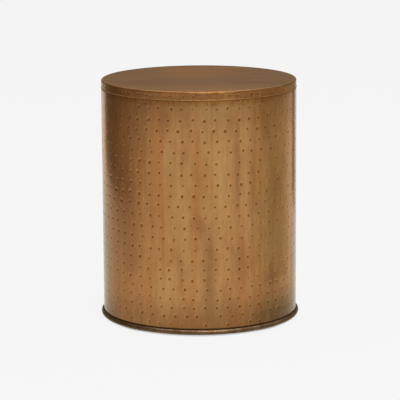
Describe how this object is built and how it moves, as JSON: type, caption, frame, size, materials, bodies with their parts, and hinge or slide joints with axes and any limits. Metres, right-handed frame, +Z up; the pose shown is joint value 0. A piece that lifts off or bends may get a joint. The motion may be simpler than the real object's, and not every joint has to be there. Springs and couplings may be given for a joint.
{
  "type": "drum side table",
  "caption": "Round drum side table of hammered, antiqued brass sheet, with a flat lift-off lid over a storage drum and a half-round bead round its foot.",
  "frame": {"origin": "on the floor, in the middle of the footprint", "axes": "+Z up, +Y to the back, where the seam of the wall is, -Y to the viewer of the picture"},
  "size_m": [0.3799, 0.38, 0.457],
  "materials": {
    "hammered_brass": "antiqued brass sheet, satin, punched all over with small dark dimples",
    "spun_brass": "antiqued brass, spun and satin, darker than the wall",
    "bead_brass": "antiqued half-round brass bar, rubbed bright along its top",
    "plain_brass": "unpolished brass, dulled",
    "hoop_steel": "rolled flat bar, darkened",
    "base_paint": "dark satin paint on sheet steel",
    "fastener_steel": "zinc-plated steel",
    "board": "plain fibreboard, sanded",
    "felt": "dark brown pressed felt",
    "foot_rubber": "matt moulded rubber"
  },
  "bodies": {
    "drum": {"drum_shell": "hammered_brass", "seam_strap": "plain_brass", "seam_rivets": "plain_brass", "mouth_hoop": "hoop_steel", "mouth_rivets": "plain_brass", "base_bead": "bead_brass", "base_plate": "base_paint", "base_screws": "fastener_steel", "foot_1": "foot_rubber", "foot_2": "foot_rubber", "foot_3": "foot_rubber", "foot_4": "foot_rubber", "foot_washers": "fastener_steel", "foot_screws": "fastener_steel", "foot_nuts": "fastener_steel"},
    "lid": {"lid_cap": "spun_brass", "lid_board": "board", "lid_lining": "felt", "lid_seat_felt": "felt"}
  },
  "joints": [
    {"name": "lid_lift", "type": "slide", "parent": "drum", "child": "lid", "axis": [0, 0, 1], "range_m": [0, 0.15]}
  ]
}
